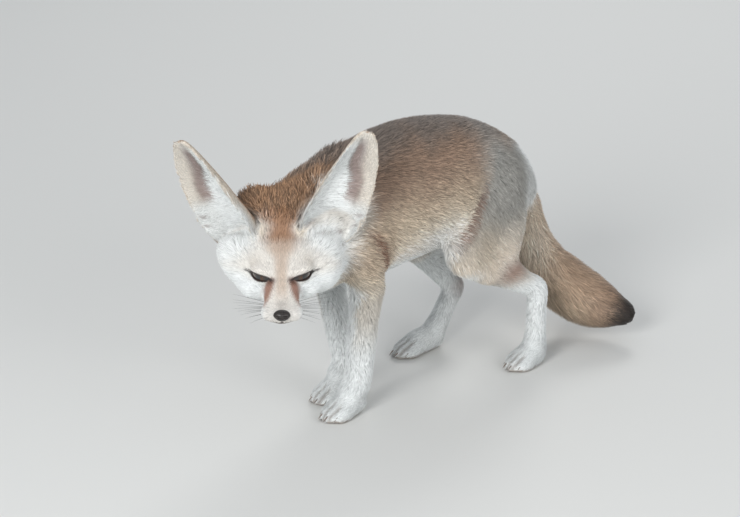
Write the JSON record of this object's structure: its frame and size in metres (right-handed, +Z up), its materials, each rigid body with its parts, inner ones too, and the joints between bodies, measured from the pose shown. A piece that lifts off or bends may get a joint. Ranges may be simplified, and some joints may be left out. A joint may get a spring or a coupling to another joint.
{
  "type": "fennec fox model",
  "caption": "Still life-size model of a fennec fox standing with its head held low and turned to its left, large ears raised and bushy tail swept to one side.",
  "frame": {"origin": "middle of the model's box, on the floor under its paws", "axes": "+Z up, -Y the way the trunk points, +X the fox's left side"},
  "size_m": [0.12, 0.3866, 0.2407],
  "materials": {
    "coat_sandy": "soft dense fur, sandy brown",
    "coat_white": "short dense fur, cream white",
    "coat_ear": "thin short fur over skin, cream and pink brown",
    "coat_dark": "long soft fur, brown black",
    "eye_glass": "glossy dark brown glass eye",
    "nose_leather": "moist black leather"
  },
  "bodies": {
    "root": {"head": "coat_white", "neck": "coat_sandy", "trunk": "coat_sandy", "tail": "coat_sandy", "tail_tip": "coat_dark", "ear_left": "coat_ear", "ear_right": "coat_ear", "eye_left": "eye_glass", "eye_right": "eye_glass", "nose": "nose_leather", "foreleg_left": "coat_white", "foreleg_right": "coat_white", "forepaw_left": "coat_white", "forepaw_right": "coat_white", "thigh_left": "coat_sandy", "thigh_right": "coat_sandy", "shank_left": "coat_white", "shank_right": "coat_white", "hindpaw_left": "coat_white", "hindpaw_right": "coat_white"}
  },
  "joints": []
}
